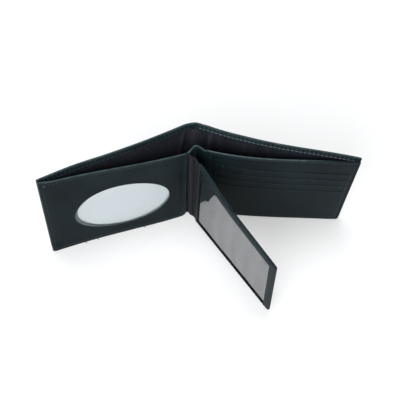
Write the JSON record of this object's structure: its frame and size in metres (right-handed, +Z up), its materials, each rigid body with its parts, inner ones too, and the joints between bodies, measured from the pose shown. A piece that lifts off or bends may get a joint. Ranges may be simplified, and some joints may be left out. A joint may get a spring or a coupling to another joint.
{
  "type": "bifold wallet",
  "caption": "Bifold leather wallet standing half open, with a gaping banknote pocket, an oval window panel, stepped card slots and a swinging window flap.",
  "frame": {"origin": "middle of the spine's bottom edge, where the wallet stands", "axes": "+X towards the right leaf, +Y out of the back of the spine, +Z up along the folds"},
  "size_m": [0.2226, 0.1116, 0.09],
  "materials": {
    "leather": "smooth semi-gloss, fine grain",
    "lining": "matt woven lining",
    "clear_sheet": "clear soft vinyl sheet",
    "card": "plain white card",
    "thread": "twisted sewing thread"
  },
  "bodies": {
    "spine": {"cover_spine": "leather", "lining_spine": "lining"},
    "cover_left": {"cover_left": "leather", "lining_left": "lining", "hem_thread_left": "thread", "pocket_floor_left": "lining"},
    "cover_right": {"cover_right": "leather", "lining_right": "lining", "hem_thread_right": "thread", "pocket_floor_right": "lining"},
    "panel_left": {"left_panel": "leather", "oval_window": "clear_sheet", "left_pocket_back": "lining", "panel_thread_left": "thread"},
    "panel_right": {"right_panel": "leather", "card_slot_1": "leather", "card_slot_2": "leather", "card_slot_3": "leather", "card_slot_4": "leather", "right_pocket_back": "lining", "panel_thread_right": "thread"},
    "flap": {"flap_frame": "leather", "flap_window": "clear_sheet", "flap_divider": "lining", "flap_back": "leather", "flap_thread": "thread", "flap_hinge_strip": "lining"},
    "insert": {"display_card": "card"},
    "inner_spine": {"inner_spine_strip": "leather", "pocket_floor_spine": "lining"}
  },
  "joints": [
    {"name": "left_fold", "type": "hinge", "parent": "spine", "child": "cover_left", "pos_m": [-0.008, -0.0012, 0], "axis": [0, 0, 1], "range_deg": [-6, 69.6]},
    {"name": "right_fold", "type": "hinge", "parent": "spine", "child": "cover_right", "pos_m": [0.008, -0.0012, 0], "axis": [0, 0, 1], "range_deg": [-69.6, 6]},
    {"name": "left_pocket", "type": "hinge", "parent": "cover_left", "child": "panel_left", "pos_m": [-0.11063, -0.04081, 0], "axis": [0, 0, 1], "range_deg": [-0.75, 7.95], "deforming": ["pocket_floor_left"]},
    {"name": "right_pocket", "type": "hinge", "parent": "cover_right", "child": "panel_right", "pos_m": [0.11063, -0.04081, 0], "axis": [0, 0, 1], "range_deg": [-7.95, 0.75], "deforming": ["pocket_floor_right"]},
    {"name": "flap_swing", "type": "hinge", "parent": "panel_left", "child": "flap", "pos_m": [-0.00701, -0.02076, 0], "axis": [0, 0, 1], "range_deg": [-105.7, 9.2], "deforming": ["flap_hinge_strip"]},
    {"name": "inner_spine_slide", "type": "slide", "parent": "spine", "child": "inner_spine", "axis": [0, 1, 0], "range_m": [-0.0012, 0.0131], "deforming": ["inner_spine_strip", "pocket_floor_spine"]},
    {"name": "insert_slide", "type": "slide", "parent": "panel_left", "child": "insert", "axis": [0, 0, 1], "range_m": [0, 0.07]}
  ],
  "couplings": [
    {"joint": "right_fold", "follows": "left_fold", "ratio": -1},
    {"joint": "left_pocket", "follows": "left_fold", "ratio": 0.11351},
    {"joint": "right_pocket", "follows": "left_fold", "ratio": -0.11351},
    {"joint": "flap_swing", "follows": "left_fold", "ratio": -1.5172},
    {"joint": "inner_spine_slide", "follows": "left_fold", "m_per_rad": 0.010702}
  ]
}
